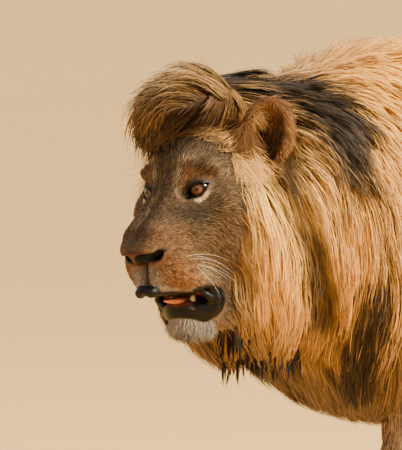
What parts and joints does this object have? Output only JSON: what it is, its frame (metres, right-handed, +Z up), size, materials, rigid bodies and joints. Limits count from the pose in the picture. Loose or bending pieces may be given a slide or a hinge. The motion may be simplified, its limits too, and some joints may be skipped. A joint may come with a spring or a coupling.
{
  "type": "lion figure",
  "caption": "Standing adult male lion as a still life-size model, full mane, head turned a little to its left, mouth slightly open.",
  "frame": {"origin": "centre of the bounding box, on the plane of the soles", "axes": "+Z up; -Y the way the lion faces; +X the lion's left"},
  "size_m": [0.5288, 2.1006, 1.21],
  "materials": {
    "body_fur": "short tawny fur",
    "tooth": "smooth ivory enamel",
    "pale_mane": "long golden-blond hair",
    "dark_mane": "long dark-brown hair with golden locks",
    "ear_fur": "short rust-brown fur, dark inside",
    "eye": "amber iris under a wet clear cornea",
    "face_fur": "short grey-brown fur",
    "chin_fur": "short white fur with dark tips",
    "nose_leather": "bare, finely pebbled, slightly moist",
    "tail_tuft": "long black-brown hair",
    "tongue": "moist, pink"
  },
  "bodies": {
    "root": {"belly": "body_fur", "canine_left": "tooth", "canine_right": "tooth", "cheek_mane_left": "pale_mane", "cheek_mane_right": "pale_mane", "chest": "dark_mane", "crown_mane": "pale_mane", "ear_left": "ear_fur", "ear_right": "ear_fur", "eye_left": "eye", "eye_right": "eye", "foreleg_lower_left": "body_fur", "foreleg_lower_right": "body_fur", "foreleg_upper_left": "body_fur", "foreleg_upper_right": "body_fur", "forepaw_left": "body_fur", "forepaw_right": "body_fur", "head": "face_fur", "hind_foot_left": "body_fur", "hind_foot_right": "body_fur", "hind_paw_left": "body_fur", "hind_paw_right": "body_fur", "hips": "body_fur", "lower_jaw": "chin_fur", "neck": "dark_mane", "nose": "nose_leather", "ribcage": "body_fur", "shank_left": "body_fur", "shank_right": "body_fur", "shoulders": "dark_mane", "tail_base": "body_fur", "tail_middle": "body_fur", "tail_tuft": "tail_tuft", "thigh_left": "body_fur", "thigh_right": "body_fur", "throat_mane": "pale_mane", "tongue": "tongue"}
  },
  "joints": []
}
